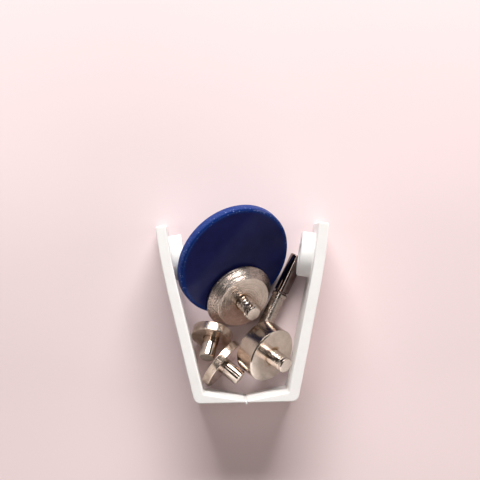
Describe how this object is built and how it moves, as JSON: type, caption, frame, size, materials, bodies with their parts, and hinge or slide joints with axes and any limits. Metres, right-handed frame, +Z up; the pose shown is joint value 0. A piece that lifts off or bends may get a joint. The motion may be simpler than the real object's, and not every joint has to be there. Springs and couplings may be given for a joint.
{
  "type": "snap setter pliers",
  "caption": "Open plastic setter pliers with a living hinge and bored bosses, lying with their loose striking disc, turned dies and punch between the arms.",
  "frame": {"origin": "middle of the whole set's footprint, on the surface it lies on", "axes": "+Z up from the surface and along the hinge axis, +Y from the hinge towards the arm tips, +X to the right arm"},
  "size_m": [0.0632, 0.0727, 0.0312],
  "materials": {
    "white_plastic": "satin moulded",
    "blue_plastic": "gloss",
    "nickel": "polished nickel plate"
  },
  "bodies": {
    "hinge": {"living_hinge": "white_plastic"},
    "left_half": {"left_arm": "white_plastic", "left_boss": "white_plastic"},
    "right_half": {"right_arm": "white_plastic", "right_boss": "white_plastic"},
    "disc": {"striking_disc": "blue_plastic"},
    "cap_die": {"cap_die_head": "nickel", "cap_die_shank": "nickel"},
    "socket_die": {"socket_die_head": "nickel", "socket_die_shank": "nickel"},
    "stud_die": {"stud_die_head": "nickel", "stud_die_shank": "nickel"},
    "post_die": {"post_die_head": "nickel", "post_die_shank": "nickel"},
    "punch": {"eyelet_punch": "nickel"}
  },
  "joints": [
    {"name": "left_hinge", "type": "hinge", "parent": "hinge", "child": "left_half", "pos_m": [0.00145, -0.03553, 0.0145], "axis": [0, 0, 1], "range_deg": [0, 75]},
    {"name": "right_hinge", "type": "hinge", "parent": "hinge", "child": "right_half", "pos_m": [0.00145, -0.03553, 0.0145], "axis": [0, 0, 1], "range_deg": [-75, 0]},
    {"name": "disc_lift", "type": "slide", "parent": "hinge", "child": "disc", "axis": [0, 0.342, 0.9397], "range_m": [0, 0.038]},
    {"name": "cap_die_lift", "type": "slide", "parent": "disc", "child": "cap_die", "axis": [0, 0.342, 0.9397], "range_m": [0, 0.038]},
    {"name": "socket_die_lift", "type": "slide", "parent": "hinge", "child": "socket_die", "axis": [0, 0.342, 0.9397], "range_m": [0, 0.038]},
    {"name": "stud_die_lift", "type": "slide", "parent": "hinge", "child": "stud_die", "axis": [0, 0.342, 0.9397], "range_m": [0, 0.038]},
    {"name": "post_die_lift", "type": "slide", "parent": "hinge", "child": "post_die", "axis": [0, 0.342, 0.9397], "range_m": [0, 0.038]},
    {"name": "punch_slide", "type": "slide", "parent": "hinge", "child": "punch", "axis": [-0.4319, -0.9019, 0], "range_m": [0, 0.01]}
  ],
  "couplings": [
    {"joint": "right_hinge", "follows": "left_hinge", "ratio": -1}
  ]
}
